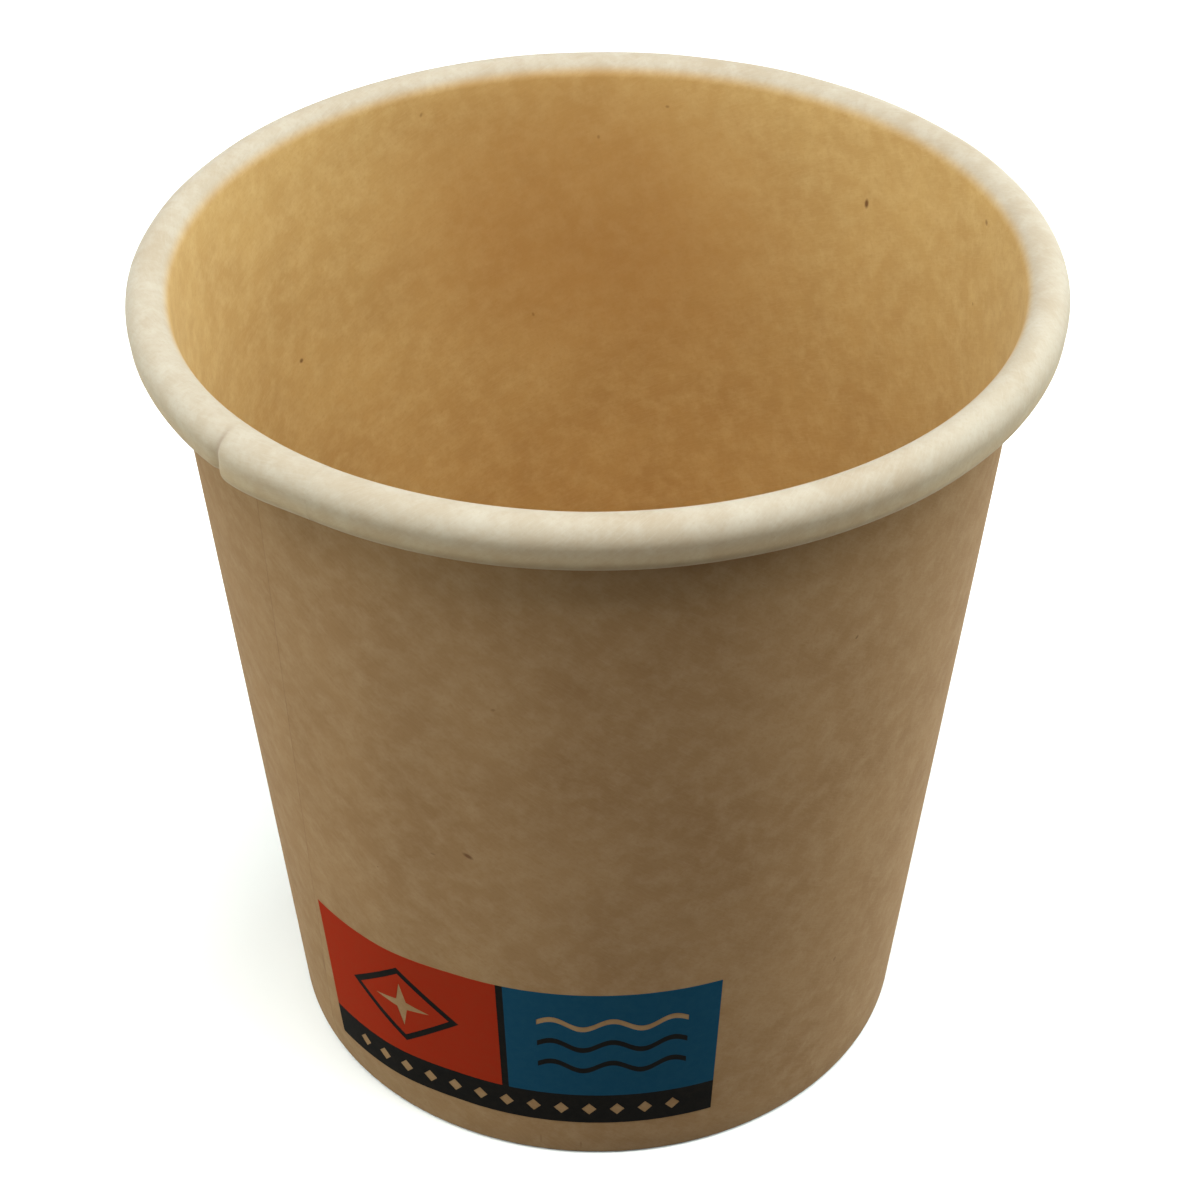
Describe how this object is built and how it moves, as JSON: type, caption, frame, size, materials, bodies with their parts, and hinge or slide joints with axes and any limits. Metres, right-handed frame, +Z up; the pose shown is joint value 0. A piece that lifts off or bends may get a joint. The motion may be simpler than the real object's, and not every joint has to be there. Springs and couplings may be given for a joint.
{
  "type": "paper ice cream cup",
  "caption": "Small tapered kraft paper cup with a rolled rim, a lapped side seam and a raised bottom disc, for a scoop of ice cream or a short drink.",
  "frame": {"origin": "centre of the foot, on the plane that the cup stands on", "axes": "+Z up along the cup's axis, front towards -Y, +X to the right of the front"},
  "size_m": [0.062, 0.062, 0.062],
  "materials": {
    "kraft_wall": "uncoated kraft board, matt and mottled outside, faintly satin inside",
    "kraft_bottom": "kraft board, faintly satin",
    "red_ink": "flat orange-red ink on kraft board",
    "blue_ink": "flat petrol-blue ink on kraft board",
    "dark_ink": "flat near-black ink on kraft board"
  },
  "bodies": {
    "root": {"side_wall": "kraft_wall", "bottom_disc": "kraft_bottom", "printed_red_field": "red_ink", "printed_blue_field": "blue_ink", "printed_dark_ink": "dark_ink"}
  },
  "joints": []
}
